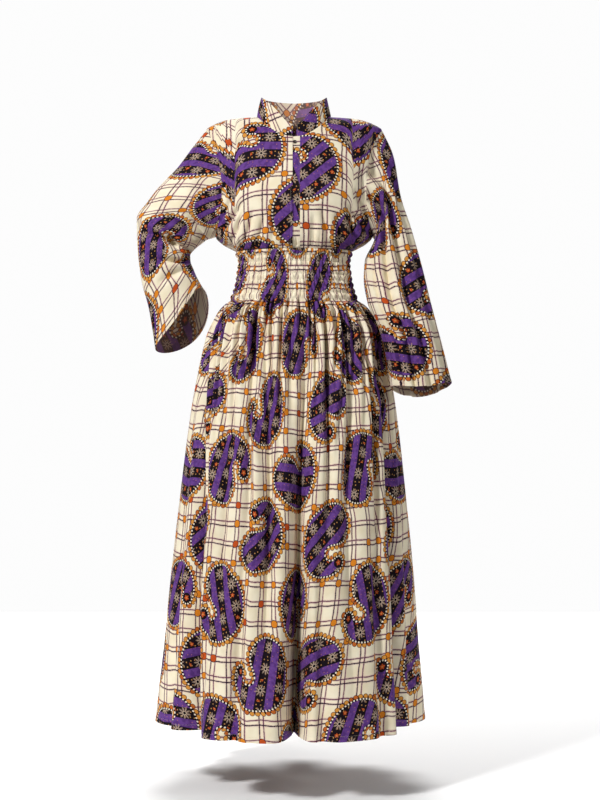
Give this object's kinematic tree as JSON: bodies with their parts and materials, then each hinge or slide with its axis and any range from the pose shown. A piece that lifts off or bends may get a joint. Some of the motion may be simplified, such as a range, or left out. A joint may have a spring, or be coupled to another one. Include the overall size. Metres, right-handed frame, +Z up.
{
  "type": "ankara shirt dress",
  "caption": "Full-length printed cotton shirt dress in its worn form: stand collar, lapped front, wide sleeves, shirred waist and gathered skirt, open at neck, cuffs and hem.",
  "frame": {"origin": "midway between the two tops of the shoulder seams, where the dress hangs on its wearer", "axes": "+Z up, -Y towards the front, +X to the wearer's left"},
  "size_m": [0.7361, 0.6005, 1.4574],
  "materials": {
    "printed_cotton": "plain-woven cotton, matt with a slight sheen, printed with a plaid and paisleys",
    "button": "dark brown, glossy"
  },
  "bodies": {
    "root": {"bodice_front_right": "printed_cotton", "bodice_front_left": "printed_cotton", "button_band": "printed_cotton", "bodice_back": "printed_cotton", "collar": "printed_cotton", "sleeve_right": "printed_cotton", "sleeve_left": "printed_cotton", "skirt_front": "printed_cotton", "skirt_back": "printed_cotton", "button_neck": "button", "button_waist": "button"}
  },
  "joints": []
}
